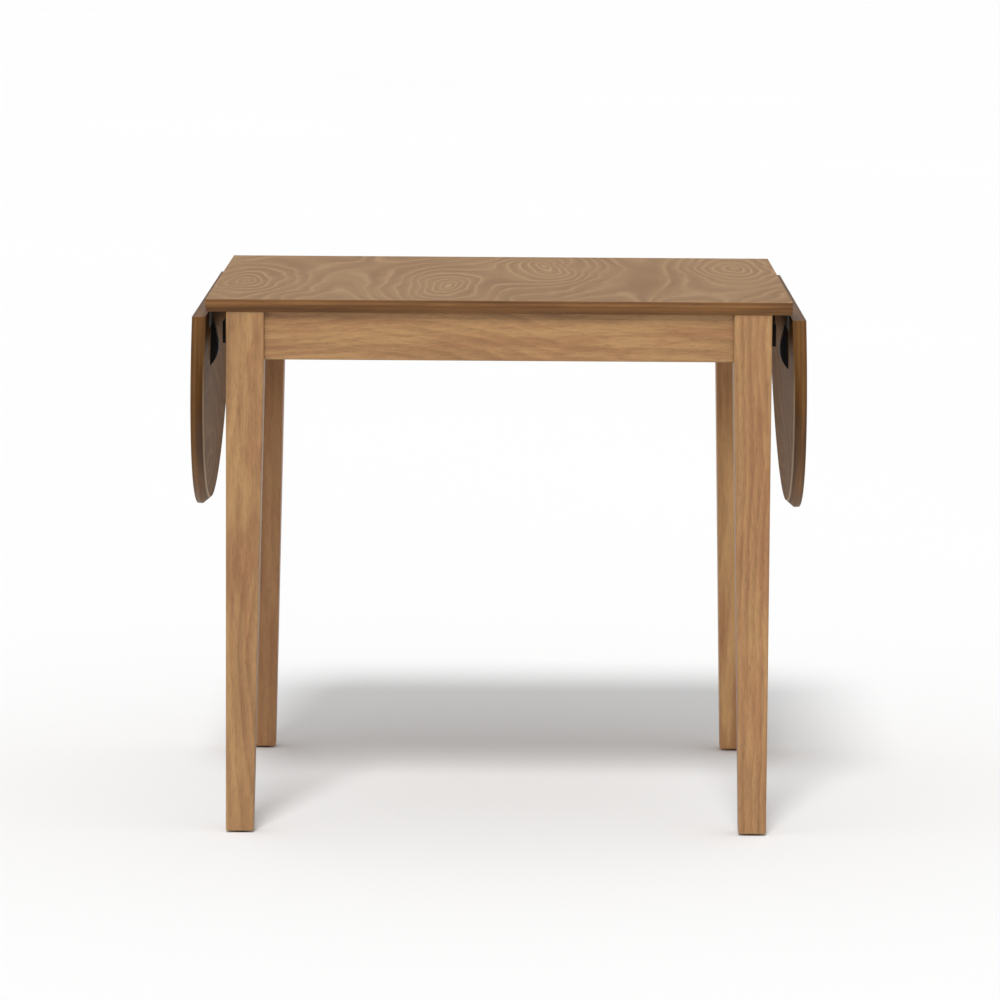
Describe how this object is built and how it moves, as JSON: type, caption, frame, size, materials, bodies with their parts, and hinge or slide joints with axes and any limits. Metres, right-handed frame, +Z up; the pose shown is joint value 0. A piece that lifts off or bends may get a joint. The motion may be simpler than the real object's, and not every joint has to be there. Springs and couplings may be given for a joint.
{
  "type": "drop leaf table",
  "caption": "Square-topped dining table on tapered legs, with a half-oval leaf hinged to each end that hangs down or lifts level onto pull-out support slides.",
  "frame": {"origin": "middle of the footprint on the floor, under the middle of the fixed top", "axes": "+Z up, +X towards the right leaf, +Y towards the back; the front and back edges run along X"},
  "size_m": [0.858, 0.75, 0.74],
  "materials": {
    "top_veneer": "satin lacquered veneer with swirling grain, browner on the edges",
    "frame_wood": "satin lacquered golden brown hardwood",
    "inner_wood": "smooth unlacquered hardwood",
    "black_metal": "black powder coat",
    "black_plastic": "moulded black plastic",
    "glide_plastic": "moulded dark brown plastic",
    "zinc_steel": "zinc plated"
  },
  "bodies": {
    "frame": {"apron_back": "frame_wood", "apron_front": "frame_wood", "apron_left": "frame_wood", "apron_right": "frame_wood", "bearer_bracket_back_left": "black_metal", "bearer_bracket_back_right": "black_metal", "bearer_bracket_front_left": "black_metal", "bearer_bracket_front_right": "black_metal", "bolt_nuts": "zinc_steel", "bolt_washers": "zinc_steel", "bracket_screws": "zinc_steel", "clip_screws": "zinc_steel", "corner_block_back_left": "inner_wood", "corner_block_back_right": "inner_wood", "corner_block_front_left": "inner_wood", "corner_block_front_right": "inner_wood", "foot_glides": "glide_plastic", "hinge_pins": "zinc_steel", "hinge_plates_top": "zinc_steel", "hinge_screws_top": "zinc_steel", "leg_back_left": "frame_wood", "leg_back_right": "frame_wood", "leg_bolts": "zinc_steel", "leg_front_left": "frame_wood", "leg_front_right": "frame_wood", "rail_screws": "zinc_steel", "slide_rails_back_left": "inner_wood", "slide_rails_back_right": "inner_wood", "slide_rails_front_left": "inner_wood", "slide_rails_front_right": "inner_wood", "table_top": "top_veneer", "top_clips": "zinc_steel"},
    "right_leaf": {"leaf_right": "top_veneer", "hinge_plates_right": "zinc_steel", "hinge_screws_right": "zinc_steel", "leaf_catches_right": "black_plastic", "catch_screws_right": "zinc_steel"},
    "left_leaf": {"leaf_left": "top_veneer", "hinge_plates_left": "zinc_steel", "hinge_screws_left": "zinc_steel", "leaf_catches_left": "black_plastic", "catch_screws_left": "zinc_steel"},
    "slide_front_left": {"support_slide_front_left": "inner_wood", "stop_dowel_front_left": "inner_wood"},
    "slide_front_right": {"support_slide_front_right": "inner_wood", "stop_dowel_front_right": "inner_wood"},
    "slide_back_left": {"support_slide_back_left": "inner_wood", "stop_dowel_back_left": "inner_wood"},
    "slide_back_right": {"support_slide_back_right": "inner_wood", "stop_dowel_back_right": "inner_wood"}
  },
  "joints": [
    {"name": "left_leaf_hinge", "type": "hinge", "parent": "frame", "child": "left_leaf", "pos_m": [-0.397, 0, 0.7185], "axis": [0, 1, 0], "range_deg": [0, 88]},
    {"name": "right_leaf_hinge", "type": "hinge", "parent": "frame", "child": "right_leaf", "pos_m": [0.397, 0, 0.7185], "axis": [0, -1, 0], "range_deg": [0, 88]},
    {"name": "slide_front_left_pull", "type": "slide", "parent": "frame", "child": "slide_front_left", "axis": [-1, 0, 0], "range_m": [0, 0.197]},
    {"name": "slide_front_right_pull", "type": "slide", "parent": "frame", "child": "slide_front_right", "axis": [1, 0, 0], "range_m": [0, 0.197]},
    {"name": "slide_back_left_pull", "type": "slide", "parent": "frame", "child": "slide_back_left", "axis": [-1, 0, 0], "range_m": [0, 0.197]},
    {"name": "slide_back_right_pull", "type": "slide", "parent": "frame", "child": "slide_back_right", "axis": [1, 0, 0], "range_m": [0, 0.197]}
  ],
  "couplings": [
    {"joint": "slide_front_left_pull", "follows": "left_leaf_hinge", "m_per_rad": 0.12826},
    {"joint": "slide_front_right_pull", "follows": "right_leaf_hinge", "m_per_rad": 0.12826},
    {"joint": "slide_back_left_pull", "follows": "left_leaf_hinge", "m_per_rad": 0.12826},
    {"joint": "slide_back_right_pull", "follows": "right_leaf_hinge", "m_per_rad": 0.12826}
  ]
}
